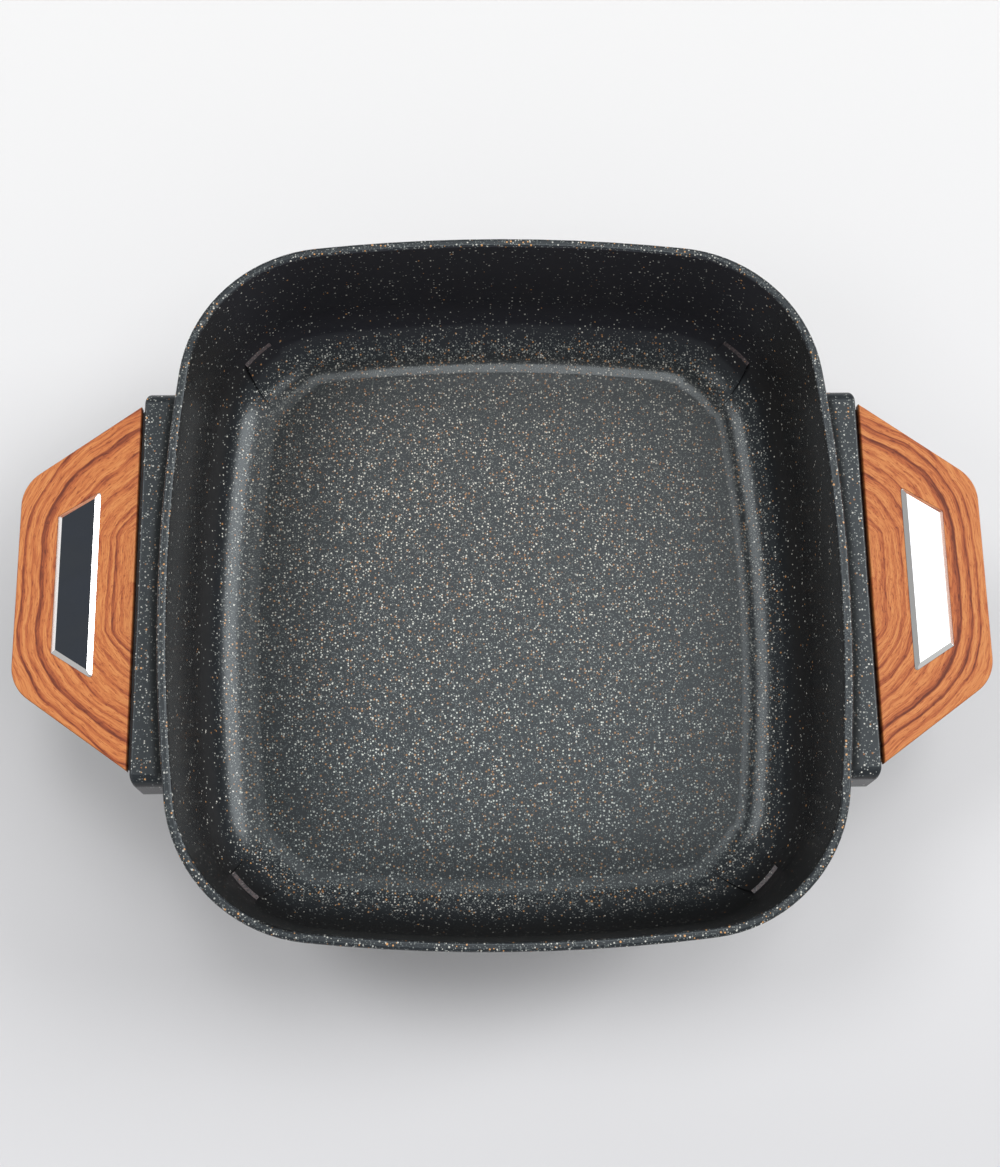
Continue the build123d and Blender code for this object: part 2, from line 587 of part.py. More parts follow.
def guard_screws():
    """The two screws that hold the guard to its cast posts."""
    seat_z = GUARD_POST_Z - GUARD_EAR_THICKNESS
    length = GUARD_EAR_THICKNESS + GUARD_SCREW_GRIP
    return [
        screw(
            x,
            GUARD_POST_Y,
            seat_z,
            length,
            GUARD_SCREW_DIAMETER,
            GUARD_HEAD_DIAMETER,
            GUARD_HEAD_HEIGHT,
        )
        for x in (GUARD_POST_OFFSET, -GUARD_POST_OFFSET)
    ]


# ------------------------------------------------------------------ handles
def grip_outline(inner_x, inset):
    """Handle seen from above: a trapezoid with round outer corners.

    The slanted sides and the outer edge are inset from the panel's, and the side
    that faces the pan lies at inner_x.
    """
    slope = (GRIP_INNER_HALF - GRIP_OUTER_HALF) / GRIP_REACH
    outer_x = PANEL_INNER_X + GRIP_REACH
    start_x = inner_x - inset
    start_half = GRIP_INNER_HALF + slope * (PANEL_INNER_X - start_x)
    outline = Polygon(
        (start_x, -start_half),
        (outer_x, -GRIP_OUTER_HALF),
        (outer_x, GRIP_OUTER_HALF),
        (start_x, start_half),
        align=None,
    )
    outline = fillet(outline.vertices().group_by(Axis.X)[-1], GRIP_CORNER_ROUND)
    return offset(outline, amount=-inset) if inset else outline


def handle_core():
    """Right-hand black moulded tray: grip underside, walls, ribs and screw bosses."""
    core = extrude(Pos(0, 0, CORE_BOTTOM_Z) * grip_outline(CORE_INNER_X, CORE_INSET), CORE_HEIGHT)
    under_edges = core.edges().group_by(Axis.Z)[0]
    grip_edges = under_edges.filter_by(lambda edge: edge.center().X > CORE_INNER_X + OVERRUN)
    core = fillet(grip_edges, CORE_UNDER_ROUND)
    tray = grip_outline(CORE_INNER_X + CORE_WALL, CORE_INSET + CORE_WALL)
    core -= extrude(Pos(0, 0, CORE_FLOOR_Z) * tray, CORE_HEIGHT)

    outer_x = PANEL_INNER_X + GRIP_REACH - CORE_INSET
    rib_half = CORE_RIB_THICKNESS / 2
    rib_top = PANEL_BOTTOM_Z - SEAT_CLEARANCE
    recess_diameter = HANDLE_WASHER_DIAMETER + 2 * HEAD_CLEARANCE
    washer_seat_z = CORE_BOTTOM_Z + HANDLE_SCREW_SINK
    slot_half = EAR_WIDTH / 2 + SEAT_CLEARANCE
    slot_end_x = CORE_INNER_X + CORE_WALL + OVERRUN
    root_z = CORE_FLOOR_Z - OVERRUN
    cut_z = CORE_BOTTOM_Z - OVERRUN
    for side in (1, -1):
        rib_y = side * CORE_RIB_OFFSET
        core += block(
            CORE_INNER_X + CORE_WALL / 2,
            outer_x - CORE_WALL / 2,
            rib_y - rib_half,
            rib_y + rib_half,
            root_z,
            rib_top,
        )

        y = side * EAR_OFFSET
        core += drum(HANDLE_SCREW_X, y, root_z, LUG_BOTTOM_Z, recess_diameter + 2 * BOSS_WALL)
        core -= drum(HANDLE_SCREW_X, y, cut_z, washer_seat_z, recess_diameter)
        core -= drum(
            HANDLE_SCREW_X, y, cut_z, PANEL_BOTTOM_Z, HANDLE_SCREW_DIAMETER + 2 * SHANK_CLEARANCE
        )
        core -= block(
            CORE_INNER_X - OVERRUN,
            slot_end_x,
            y - slot_half,
            y + slot_half,
            LUG_BOTTOM_Z,
            EAR_TOP_Z + SEAT_CLEARANCE,
        )

        y = side * PANEL_SCREW_OFFSET
        head_recess = PANEL_HEAD_DIAMETER + 2 * HEAD_CLEARANCE
        core += drum(PANEL_SCREW_X, y, root_z, PANEL_BOSS_Z, head_recess + BOSS_WALL)
        core -= drum(PANEL_SCREW_X, y, cut_z, PANEL_SCREW_Z, head_recess)
        core -= drum(
            PANEL_SCREW_X, y, cut_z, PANEL_BOTTOM_Z, PANEL_SCREW_DIAMETER + 2 * SHANK_CLEARANCE
        )
    return core


def plate_outline(grow):
    """Inlay plate seen from above, grown all round."""
    outer_x = PLATE_INNER_X + PLATE_REACH
    outline = Polygon(
        (PLATE_INNER_X, -PLATE_INNER_HALF),
        (outer_x, -PLATE_OUTER_HALF),
        (outer_x, PLATE_OUTER_HALF),
        (PLATE_INNER_X, PLATE_INNER_HALF),
        align=None,
    )
    if grow:
        outline = offset(outline, amount=grow, kind=Kind.INTERSECTION)
    return fillet(outline.vertices(), PLATE_CORNER_ROUND + grow)


def handle_panel():
    """Right-hand wood-grain panel with a seat for the plate and two screw bosses below."""
    panel = extrude(Pos(0, 0, PANEL_BOTTOM_Z) * grip_outline(PANEL_INNER_X, 0), PANEL_THICKNESS)
    panel = fillet(panel.edges().group_by(Axis.Z)[-1], PANEL_EDGE_ROUND)
    seat = Pos(0, 0, PLATE_BOTTOM_Z) * plate_outline(SEAT_CLEARANCE)
    panel -= extrude(seat, PLATE_SINK + OVERRUN)
    boss_diameter = PANEL_SCREW_DIAMETER + 2 * BOSS_WALL
    peg_hole = PLATE_PEG_DIAMETER + 2 * SEAT_CLEARANCE
    peg_x = PLATE_INNER_X + PLATE_REACH / 2
    for side in (1, -1):
        y = side * PANEL_SCREW_OFFSET
        bite_top = PANEL_BOSS_Z + PANEL_SCREW_GRIP + THREAD_RUNOUT
        bite_diameter = PANEL_SCREW_DIAMETER + 2 * THREAD_CLEARANCE
        panel += drum(PANEL_SCREW_X, y, PANEL_BOSS_Z, PANEL_BOTTOM_Z + OVERRUN, boss_diameter)
        panel -= drum(PANEL_SCREW_X, y, PANEL_BOSS_Z - OVERRUN, bite_top, bite_diameter)
        peg_y = side * PLATE_PEG_OFFSET
        peg_end = PLATE_BOTTOM_Z - PLATE_PEG_LENGTH - SEAT_CLEARANCE
        panel -= drum(peg_x, peg_y, peg_end, PLATE_BOTTOM_Z + OVERRUN, peg_hole)
    return panel


def handle_plate():
    """Right-hand polished inlay plate: bevelled edges above, two pegs below."""
    bevel_angle = degrees(atan2(PLATE_BEVEL, PLATE_RAISE))
    plate = extrude(Pos(0, 0, PLATE_BOTTOM_Z) * plate_outline(0), PLATE_SINK)
    plate += extrude(Pos(0, 0, PANEL_TOP_Z) * plate_outline(0), PLATE_RAISE, taper=bevel_angle)
    peg_x = PLATE_INNER_X + PLATE_REACH / 2
    for y in (PLATE_PEG_OFFSET, -PLATE_PEG_OFFSET):
        peg_low = PLATE_BOTTOM_Z - PLATE_PEG_LENGTH
        plate += drum(peg_x, y, peg_low, PLATE_BOTTOM_Z + PLATE_SINK / 2, PLATE_PEG_DIAMETER)
    return plate


def handle_screws():
    """The two machine screws that clamp a handle core to its ears."""
    length = EAR_TOP_Z - HANDLE_WASHER_Z
    return [
        screw(
            HANDLE_SCREW_X,
            y,
            HANDLE_WASHER_Z,
            length,
            HANDLE_SCREW_DIAMETER,
            HANDLE_HEAD_DIAMETER,
            HANDLE_HEAD_HEIGHT,
        )
        for y in (EAR_OFFSET, -EAR_OFFSET)
    ]


def handle_washers():
    """A washer under each handle screw's head."""
    return [
        washer(HANDLE_SCREW_X, y, HANDLE_WASHER_Z, HANDLE_WASHER_DIAMETER, HANDLE_SCREW_DIAMETER)
        for y in (EAR_OFFSET, -EAR_OFFSET)
    ]


def panel_screws():
    """The two small screws that pull a panel down onto its core."""
    length = PANEL_BOSS_Z - PANEL_SCREW_Z + PANEL_SCREW_GRIP
    return [
        screw(
            PANEL_SCREW_X,
            y,
            PANEL_SCREW_Z,
            length,
            PANEL_SCREW_DIAMETER,
            PANEL_HEAD_DIAMETER,
            PANEL_HEAD_HEIGHT,
        )
        for y in (PANEL_SCREW_OFFSET, -PANEL_SCREW_OFFSET)
    ]


# ------------------------------------------------------------------ legs and feet
def leg_place(x, y):
    """Leg's place, with its long side square to the line from the pan's middle corner."""
    x_sign = 1 if x > 0 else -1
    y_sign = 1 if y > 0 else -1
    return Pos(x, y) * Rot(0, 0, degrees(atan2(y_sign, x_sign)) + 90)


def column_plan(inset):
    """Column's section below the leg's plate, inset all round."""
    shrink = LEG_STEP + inset
    length = LEG_PLATE_LENGTH - 2 * shrink
    width = LEG_PLATE_WIDTH - 2 * shrink
    return RectangleRounded(length, width, LEG_CORNER_ROUND - shrink)


def leg():
    """Black moulded leg about its own screw: plate, drafted column and stepped bore."""
    plate_plan = RectangleRounded(LEG_PLATE_LENGTH, LEG_PLATE_WIDTH, LEG_CORNER_ROUND)
    plate_z = LEG_TOP_Z - LEG_PLATE_THICKNESS
    plate = extrude(Pos(0, 0, plate_z) * plate_plan, LEG_PLATE_THICKNESS)
    for level in (0, -1):
        plate = chamfer(plate.edges().group_by(Axis.Z)[level], LEG_EDGE_BEVEL)
    column = extrude(
        Pos(0, 0, plate_z + OVERRUN) * column_plan(0), COLUMN_HEIGHT + OVERRUN, dir=DOWN, taper=LEG_DRAFT
    )
    body = plate + column
    socket_diameter = LEG_BOSS_DIAMETER + 2 * SEAT_CLEARANCE
    body -= drum(0, 0, LEG_BOSS_Z, LEG_TOP_Z + OVERRUN, socket_diameter)
    body -= drum(0, 0, FOOT_SOLE - OVERRUN, LEG_WASHER_Z + WASHER_THICKNESS, LEG_BORE_DIAMETER)
    return body - drum(0, 0, FOOT_SOLE, LEG_TOP_Z, LEG_SCREW_DIAMETER + 2 * SHANK_CLEARANCE)


def rubber_foot():
    """Rubber boot about the leg's screw: sole, cuff round the column and a stem in its bore."""
    column_end_inset = drafted(COLUMN_HEIGHT + OVERRUN, LEG_DRAFT)
    outer = column_plan(column_end_inset - FOOT_WALL)
    foot = extrude(outer, FOOT_SOLE + FOOT_CUFF)
    foot = chamfer(foot.edges().group_by(Axis.Z)[0], FOOT_EDGE_BEVEL)
    cuff_inset = column_end_inset - SEAT_CLEARANCE
    foot -= extrude(
        Pos(0, 0, FOOT_SOLE) * column_plan(cuff_inset), FOOT_CUFF + OVERRUN, taper=-LEG_DRAFT
    )
    stem_diameter = LEG_BORE_DIAMETER - 2 * FOOT_STEM_CLEARANCE
    stem_top = FOOT_SOLE + FOOT_STEM_LENGTH
    return foot + drum(0, 0, FOOT_SOLE - OVERRUN, stem_top, stem_diameter)


def leg_screw():
    """Screw about its own axis, from the leg's washer into the casting's boss."""
    length = LEG_BOSS_Z + LEG_SCREW_GRIP - LEG_WASHER_Z
    return screw(0, 0, LEG_WASHER_Z, length, LEG_SCREW_DIAMETER, LEG_HEAD_DIAMETER, LEG_HEAD_HEIGHT)


def leg_washer():
    """Washer about the leg screw's axis."""
    return washer(0, 0, LEG_WASHER_Z, LEG_WASHER_DIAMETER, LEG_SCREW_DIAMETER)


# ------------------------------------------------------------------ every node
write("pan_body", pan_body())
write("heating_element", heating_element())
write_pair("terminal_pin", terminal_pin())
write_pair("terminal_insulator", terminal_insulator())
write("socket_guard", socket_guard())
write("socket_guard_screws", *guard_screws())

write_pair("handle_core", handle_core())
write_pair("handle_panel", handle_panel())
write_pair("handle_plate", handle_plate())
write_pair("handle_screws", *handle_screws())
write_pair("handle_washers", *handle_washers())
write_pair("panel_screws", *panel_screws())

places = {name: leg_place(x, y) for name, (x, y) in LEG_PLACES.items()}
for name, place in places.items():
    write(f"{name}_leg", place * leg())
    write(f"{name}_foot", place * rubber_foot())
write("leg_screws", *[place * leg_screw() for place in places.values()])
write("leg_washers", *[place * leg_washer() for place in places.values()])
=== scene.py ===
"""Looks of the electric skillet: finishes for its solids, a pale floor, soft lamps, the camera.

Everything is in metres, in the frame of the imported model: the object stands on z = 0, its
handles point along x, and its control socket is on the +y side.
"""

import math

import bpy
from mathutils import Matrix, Vector

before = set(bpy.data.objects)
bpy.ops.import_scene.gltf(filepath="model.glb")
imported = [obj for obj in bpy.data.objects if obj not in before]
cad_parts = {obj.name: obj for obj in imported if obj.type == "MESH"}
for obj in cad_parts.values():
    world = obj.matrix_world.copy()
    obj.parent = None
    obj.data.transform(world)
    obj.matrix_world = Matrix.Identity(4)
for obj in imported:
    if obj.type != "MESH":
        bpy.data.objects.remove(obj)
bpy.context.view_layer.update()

# Camera: where it stands, how it is turned, in radians, and its lens and sensor, in mm.
CAMERA_PLACE = (-0.0230, -0.1842, 0.8033)
CAMERA_PITCH, CAMERA_YAW, CAMERA_ROLL = -0.25594, 0.02876, 0.00713
CAMERA_LENS, CAMERA_SENSOR = 50.90, 36.0
CAMERA_RANGE = (0.01, 100.0)  # the nearest and the farthest point that it shows

# Pan: its half width across the rim at mid-side, and the radius its sides bow outward by;
# then the distances from a bowed side between which the painted shade on a lug's top fades out.
RIM_HALF, SIDE_BOW_RADIUS = 0.150, 0.780
CREVICE = (0.0020, 0.0062)

# Pan's heights: the floor's faces lie below the first, the rack rests' ledges at the
# second, give or take the third, the lugs' tops between the next two, and the rim above
# the last.
FLOOR_HIGH, LEDGE_TOP, LEDGE_MARGIN = 0.050, 0.0555, 0.0008
LUG_TOP_LOW, LUG_TOP_HIGH, RIM_LOW = 0.098, 0.107, 0.1105

# Pan's floor, along x and y: the middle of the painted shade towards its edge, and how far
# from there the edge is; then where along x it gets dull to the left, and where along y it
# gets dull in front and glossy at the back.
FLOOR_MIDDLE, FLOOR_REACH = (0.006, 0.004), (0.118, 0.126)
DULL_LEFT, DULL_FRONT, GLOSSY_BACK = (-0.055, -0.105), (-0.100, -0.122), (0.112, 0.122)

# Handle panels: the edge beside the pan, the far edge, and how far the end of each reaches
# along y.
PANEL_INNER, PANEL_OUTER = 0.1617, 0.2127
PANEL_INNER_HALF, PANEL_OUTER_HALF = 0.082, 0.0453
GRAIN_CORE_HALF = 0.020  # half the length of the line that the grain's rings close round

# Backdrop: the radius and the corners of its disc, the stretch of y over which painted shade
# darkens its near tone to the front, and the distances over which it gives way to the far one.
BACKDROP_RADIUS, BACKDROP_CORNERS = 14.0, 96
BACKDROP_SHADE_SPAN, BACKDROP_FAR = (-0.45, 0.45), (0.8, 3.0)

# Light: the sky's level by height; a dark panel in the sky, with its direction, its colour
# and the angles from its middle, in degrees, between which it fades out; and far lamps, each
# with its direction, its level and its width in degrees. Lit by all of them, the backdrop
# shows in about its own tone.
SKY = [(0.0, 0.90), (0.10, 0.86), (0.30, 0.38), (1.0, 0.31)]
DARK_PANEL, DARK_PANEL_COLOUR = (-0.235, 0.25, 0.94), (0.046, 0.052, 0.062, 1.0)
DARK_PANEL_EDGE = (6.5, 11.0)
LAMPS = [
    ("overhead_front", (0.07, 0.19, 0.98), 0.105, 16.0),
    ("overhead_back", (0.06, 0.42, 0.905), 0.050, 18.0),
    ("right_low", (0.77, 0.23, 0.60), 0.345, 27.0),
    ("right_high", (0.44, 0.24, 0.865), 0.085, 26.0),
    ("left_high", (-0.48, 0.24, 0.84), 0.178, 21.0),
    ("right_front", (0.45, -0.19, 0.873), 0.066, 18.0),
    ("left_front", (-0.55, -0.34, 0.76), 0.048, 19.0),
]


def srgb(red, green, blue):
    """The linear colour, with an alpha of 1, of an 8-bit screen colour."""

    def linear(value):
        value /= 255
        return value / 12.92 if value <= 0.04045 else ((value + 0.055) / 1.055) ** 2.4

    return (linear(red), linear(green), linear(blue), 1.0)


def scaled(colour, factor):
    """The colour made lighter or darker, up to 1 in each channel."""
    return tuple(min(1.0, factor * value) for value in colour[:3]) + (1.0,)


def grey(value):
    """The grey of the given linear value."""
    return (value, value, value, 1.0)


# Coating: how crowded the specks are on faces outside the bowl's floor and on the rim, where
# 1 is as on the floor, and how dark painted shade makes the front wall inside.
CROWD_OUTSIDE, CROWD_ON_RIM, FRONT_SHADE = 0.40, 0.62, 0.68

# Coating's specks, in layers: the size of a cell, how many of the cells hold a speck on
# walls and on level faces, the specks' radius, how far the cells are shifted, and the
# dullest and the brightest shade.
SPECK_LAYERS = [
    (0.00072, 0.04, 0.66, 0.00040, 0.0, srgb(62, 70, 74), srgb(162, 166, 162)),
    (0.00130, 0.10, 0.55, 0.00050, 0.3, srgb(134, 138, 136), srgb(252, 250, 240)),
    (0.00190, 0.05, 0.62, 0.00056, 0.6, srgb(146, 98, 58), srgb(232, 174, 112)),
]

# Coating: what baking has tinted the floor with, from its front, over its middle, to its
# back, and how far from the middle that reaches.
BAKED_TINTS = [
    (0.0, (0.94, 1.01, 1.04, 1.0)),
    (0.5, (0.99, 1.0, 0.99, 1.0)),
    (1.0, (1.02, 0.975, 0.92, 1.0)),
]
BAKED_REACH = 0.11

# Wood: its colours from the palest to the darkest grain, and on cut edges.
WOOD_TONES = [
    (0.0, srgb(223, 148, 85)),
    (0.20, srgb(211, 128, 69)),
    (0.45, srgb(190, 102, 54)),
    (0.70, srgb(156, 76, 41)),
    (1.0, srgb(110, 48, 27)),
]
WOOD_EDGE = srgb(84, 36, 22)

# Growth rings: where each dark line lies from the panel's inner edge (0) to its outer edges
# (1), how far in its shade begins, and how dark it is. Outside it the shade ends sharply.
RING_EDGE = 0.012
RIGHT_RINGS = [
    (0.060, 0.040, 0.35),
    (0.147, 0.070, 0.70),
    (0.250, 0.060, 0.35),
    (0.325, 0.055, 0.65),
    (0.455, 0.090, 0.75),
    (0.570, 0.070, 0.70),
    (0.660, 0.050, 0.40),
    (0.790, 0.090, 1.00),
    (0.885, 0.055, 0.95),
    (0.955, 0.040, 0.70),
]
LEFT_RINGS = [
    (0.100, 0.060, 0.35),
    (0.187, 0.070, 0.80),
    (0.250, 0.045, 0.70),
    (0.370, 0.070, 0.45),
    (0.500, 0.080, 0.60),
    (0.650, 0.080, 0.65),
    (0.720, 0.040, 0.40),
    (0.815, 0.075, 1.00),
    (0.890, 0.045, 0.55),
    (0.968, 0.045, 0.90),
]

# Which finish each CAD node gets: the first row whose word is in the node's name.
FINISH_BY_WORD = [
    ("pan_body", "coating"),
    ("right_handle_panel", "right_wood"),
    ("left_handle_panel", "left_wood"),
    ("handle_plate", "plate"),
    ("heating_element", "sheath"),
    ("terminal_pin", "contact"),
    ("insulator", "ceramic"),
    ("screws", "screw"),
    ("washers", "screw"),
    ("handle_core", "core"),
    ("socket_guard", "moulding"),
    ("_leg", "moulding"),
    ("_foot", "rubber"),
]


class Shade:
    """A node tree with short ways to add what the finishes need."""

    def __init__(self, name, owner=None):
        if owner is None:
            owner = bpy.data.materials.new(name)
        owner.use_nodes = True
        self.owner = owner
        self.nodes, self.links = owner.node_tree.nodes, owner.node_tree.links
        self.surface = self.nodes.get("Principled BSDF")

    def put(self, socket, value):
        """Links the socket to an output, or sets its plain value."""
        if isinstance(value, bpy.types.NodeSocket):
            self.links.new(value, socket)
        else:
            socket.default_value = value

    def add(self, kind, inputs=None, **settings):
        node = self.nodes.new("ShaderNode" + kind)
        for name, value in settings.items():
            setattr(node, name, value)
        for name, value in (inputs or {}).items():
            self.put(node.inputs[name], value)
        return node

    def place(self):
        """The point of the surface, in metres in the model's frame."""
        return self.add("TexCoord").outputs["Object"]

    def facing(self):
        """How far the surface faces along x, y and z, each from -1 to 1."""
        return self.split(self.add("NewGeometry").outputs["Normal"])

    def split(self, vector):
        return self.add("SeparateXYZ", {0: vector}).outputs

    def math(self, operation, *values, clamp=False):
        inputs = dict(enumerate(values))
        return self.add("Math", inputs, operation=operation, use_clamp=clamp).outputs[0]

    def times(self, product, *factors):
        for factor in factors:
            product = self.math("MULTIPLY", product, factor)
        return product

    def vector(self, operation, *values, output=0):
        inputs = dict(enumerate(values))
        return self.add("VectorMath", inputs, operation=operation).outputs[output]

    def noise(self, scale, detail=2.0, rough=0.5, where=None, output="Fac"):
        inputs = {"Scale": scale, "Detail": detail, "Roughness": rough}
        inputs["Vector"] = self.place() if where is None else where
        return self.add("TexNoise", inputs).outputs[output]

    def remap(self, value, low, high, new_low=0.0, new_high=1.0, kind="SMOOTHSTEP"):
        inputs = {0: value, 1: low, 2: high, 3: new_low, 4: new_high}
        return self.add("MapRange", inputs, interpolation_type=kind).outputs[0]

    def mix(self, factor, first, second, blend="MIX"):
        inputs = {0: factor, 6: first, 7: second}
        return self.add("Mix", inputs, data_type="RGBA", blend_type=blend).outputs[2]

    def ramp(self, value, stops):
        """The colour at a value, straight between the stops' colours."""
        node = self.add("ValToRGB", {0: value})
        elements = node.color_ramp.elements
        while len(elements) < len(stops):
            elements.new(0.5)
        for element, (position, colour) in zip(elements, stops):
            element.position, element.color = position, colour
        return node.outputs["Color"]

    def bump(self, height, distance, strength):
        inputs = {"Height": height, "Distance": distance, "Strength": strength}
        return self.add("Bump", inputs).outputs["Normal"]

    def finish(self, **sockets):
        """Sets the surface's own sockets, such as Base_Color or Roughness."""
        for name, value in sockets.items():
            self.put(self.surface.inputs[name.replace("_", " ")], value)
        return self.owner


class Coating(Shade):
    """The pan's shade, with masks that tell its faces apart."""

    def __init__(self):
        super().__init__("stone_coating")
        _, back, self.up = self.facing()
        self.x, self.y, self.z = self.split(self.place())
        self.level = self.remap(self.up, 0.90, 0.998)
        self.low = self.math("LESS_THAN", self.z, FLOOR_HIGH)
        self.in_bowl = self.times(self.level, self.low)
        # The insides of the front and the back wall, which face each other: painted shade darkens
        # the front one and painted light lightens the back one.
        self.front_wall_shade = self.times(
            self.remap(back, 0.2, 0.8, 0.0, FRONT_SHADE), self.math("LESS_THAN", self.y, 0.0)
        )
        self.back_wall_light = self.times(
            self.remap(back, -0.3, -0.9, 0.0, 0.5), self.math("GREATER_THAN", self.y, 0.0)
        )
        # The lugs' tops close to the rim's bowed side, where painted shade darkens them.
        bow = self.times(self.y, self.y)
        edge = self.math("MULTIPLY_ADD", bow, -0.5 / SIDE_BOW_RADIUS, RIM_HALF)
        gap = self.math("SUBTRACT", self.math("ABSOLUTE", self.x), edge)
        self.crevice_shade = self.times(
            self.math("GREATER_THAN", self.z, LUG_TOP_LOW),
            self.math("LESS_THAN", self.z, LUG_TOP_HIGH),
            self.remap(gap, *CREVICE, 0.85, 0.0),
            self.level,
        )

    def ground(self, cloud):
        """The coat's colour, less blue on walls; painted shade on the front wall inside, painted
        light on the back.
        """
        on_level = self.mix(cloud, srgb(35, 39, 43), srgb(49, 53, 57))
        on_walls = self.mix(cloud, srgb(37, 37, 38), srgb(49, 48, 49))
        colour = self.mix(self.remap(self.up, 0.85, 0.45), on_level, on_walls)
        colour = self.mix(self.front_wall_shade, colour, srgb(12, 12, 13))
        return self.mix(self.back_wall_light, colour, srgb(60, 60, 70))

    def specks(self, cell, presence, radius, shift):
        """At most one speck in each cell: how much it covers a point, and a random tone."""
        where = self.vector("ADD", self.place(), (shift, shift, shift))
        inputs = {"Vector": where, "Scale": 1 / cell}
        cells = self.add("TexVoronoi", inputs, feature="F1").outputs
        chance, size, tone = self.add("SeparateColor", {0: cells["Color"]}).outputs
        reach = self.remap(size, 0.0, 1.0, 0.55 * radius / cell, radius / cell, "LINEAR")
        inside, outside = self.times(reach, 0.75), self.times(reach, 1.05)
        spot = self.remap(cells["Distance"], inside, outside, 1.0, 0.0)
        return self.times(spot, self.math("LESS_THAN", chance, presence)), tone

    def sprayed(self, colour):
        """The colour with specks on it, and how far the specks stand proud."""
        crowd = self.times(
            self.math("POWER", self.remap(self.up, 0.45, 0.998), 2.0),
            self.math("MULTIPLY_ADD", self.low, 1 - CROWD_OUTSIDE, CROWD_OUTSIDE),
        )
        on_rim = self.times(
            self.math("GREATER_THAN", self.z, RIM_LOW),
            self.remap(self.up, 0.1, 0.7),
            CROWD_ON_RIM,
        )
        crowd = self.math("MAXIMUM", crowd, on_rim)
        # Painted shade on the front wall inside hides most of its specks.
        outside_front_shade = self.math("SUBTRACT", 1.0, self.front_wall_shade)
        proud = 0.0
        for cell, on_walls, on_level, radius, shift, dull, bright in SPECK_LAYERS:
            presence = self.remap(crowd, 0.0, 1.0, on_walls, on_level, "LINEAR")
            cover, tone = self.specks(cell, presence, radius, shift)
            cover = self.times(cover, outside_front_shade)
            colour = self.mix(cover, colour, self.mix(tone, dull, bright))
            proud = self.math("MAXIMUM", proud, cover)
        return colour, proud

    def baked_and_painted_light(self, colour):
        """The colour with a baking tint, a painted highlight and painted shade."""
        # Painted highlight: the rack rests' ledges are painted pale along their tops, in patches.
        ledge_highlight = self.times(
            self.math("COMPARE", self.z, LEDGE_TOP, LEDGE_MARGIN),
            self.remap(self.up, 0.70, 0.95),
            self.remap(self.noise(900.0, 3.0, 0.7), 0.35, 0.62, 0.1, 0.8),
        )
        colour = self.mix(ledge_highlight, colour, srgb(120, 104, 104))
        # Painted shade darkens the floor towards its edge, which is a rounded square.
        far = [
            self.math("POWER", self.math("DIVIDE", self.math("SUBTRACT", at, middle), reach), 4.0)
            for at, middle, reach in zip((self.x, self.y), FLOOR_MIDDLE, FLOOR_REACH)
        ]
        spread = self.math("POWER", self.math("ADD", *far), 1 / 4.0)
        edge_shade = self.times(self.in_bowl, self.remap(spread, 0.60, 1.00, 0.0, 0.44))
        colour = self.mix(edge_shade, colour, grey(0.0))
        # Baking has browned the floor a little towards the back.
        along = self.remap(self.y, -BAKED_REACH, BAKED_REACH, 0.0, 1.0, "LINEAR")
        baked = self.mix(1.0, colour, self.ramp(along, BAKED_TINTS), "MULTIPLY")
        colour = self.mix(self.in_bowl, colour, baked)
        # Painted shade darkens the lugs' tops next to the rim.
        return self.mix(self.crevice_shade, colour, grey(0.002))

    def roughness(self, cloud):
        """Satin, and a little glossier on walls than on level faces."""
        # The floor is duller along its left and front sides, and glossiest along the back.
        left, front = self.remap(self.x, *DULL_LEFT), self.remap(self.y, *DULL_FRONT)
        back = self.times(self.remap(self.y, *GLOSSY_BACK), 0.8)
        uneven = self.math("SUBTRACT", self.math("MAXIMUM", left, front), back)
        uneven = self.times(uneven, self.remap(self.up, 0.975, 0.993), self.in_bowl)
        rough = self.remap(self.up, 0.9962, 0.9998, 0.19, 0.30)
        duller = [(uneven, 0.15), (self.crevice_shade, 0.45), (self.front_wall_shade, 0.35), (cloud, 0.05)]
        for mask, more in duller:
            rough = self.math("MULTIPLY_ADD", mask, more, rough)
        return rough


def stone_coating():
    """Dark blue-grey non-stick coating with pale and tan specks, most where it faces up."""
    pan = Coating()
    cloud = pan.noise(260.0, 3.0, 0.6)
    peel = pan.noise(620.0, 3.0, 0.6)
    colour, proud = pan.sprayed(pan.ground(cloud))
    height = pan.math("ADD", peel, pan.times(proud, 0.35))
    return pan.finish(
        Base_Color=pan.baked_and_painted_light(colour),
        Roughness=pan.roughness(cloud),
        Specular_IOR_Level=0.375,
        Specular_Tint=(0.92, 1.0, 1.03, 1.0),
        Normal=pan.bump(height, 0.00005, pan.remap(pan.up, 0.1, 0.8, 0.3, 0.7)),
    )


